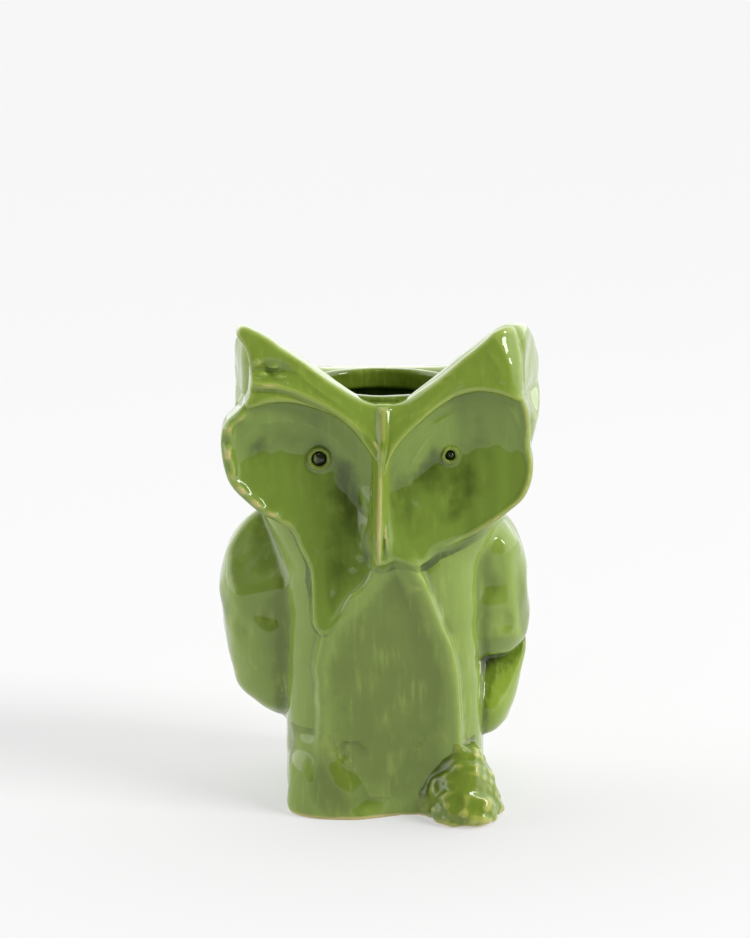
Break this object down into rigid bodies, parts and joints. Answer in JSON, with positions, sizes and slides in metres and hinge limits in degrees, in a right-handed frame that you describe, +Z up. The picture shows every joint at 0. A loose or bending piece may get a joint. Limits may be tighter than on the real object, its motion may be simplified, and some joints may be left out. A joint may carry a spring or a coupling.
{
  "type": "owl figurine",
  "caption": "Hollow glazed ceramic owl with dished face discs, folded wings, two ear tips and an open mouth on top, standing on a flat base.",
  "frame": {"origin": "middle of the flat base, on the surface that the owl stands on", "axes": "+Z up; the face looks along -Y, +X is on the right of someone who faces the owl"},
  "size_m": [0.1313, 0.1021, 0.1979],
  "materials": {
    "green_glaze": "gloss",
    "bare_clay": "matte"
  },
  "bodies": {
    "root": {"base_slab": "bare_clay", "trunk_wall": "green_glaze", "belly_panel": "green_glaze", "left_foot": "green_glaze", "right_foot": "green_glaze", "left_wing": "green_glaze", "right_wing": "green_glaze", "right_wing_tip": "green_glaze", "head_wall": "green_glaze", "mouth_collar": "green_glaze", "left_ear": "green_glaze", "right_ear": "green_glaze", "left_face_disc": "green_glaze", "right_face_disc": "green_glaze", "left_brow": "green_glaze", "right_brow": "green_glaze", "beak_ridge": "green_glaze", "left_eye_ring": "green_glaze", "right_eye_ring": "green_glaze", "left_eye_pellet": "green_glaze", "right_eye_pellet": "green_glaze"}
  },
  "joints": []
}
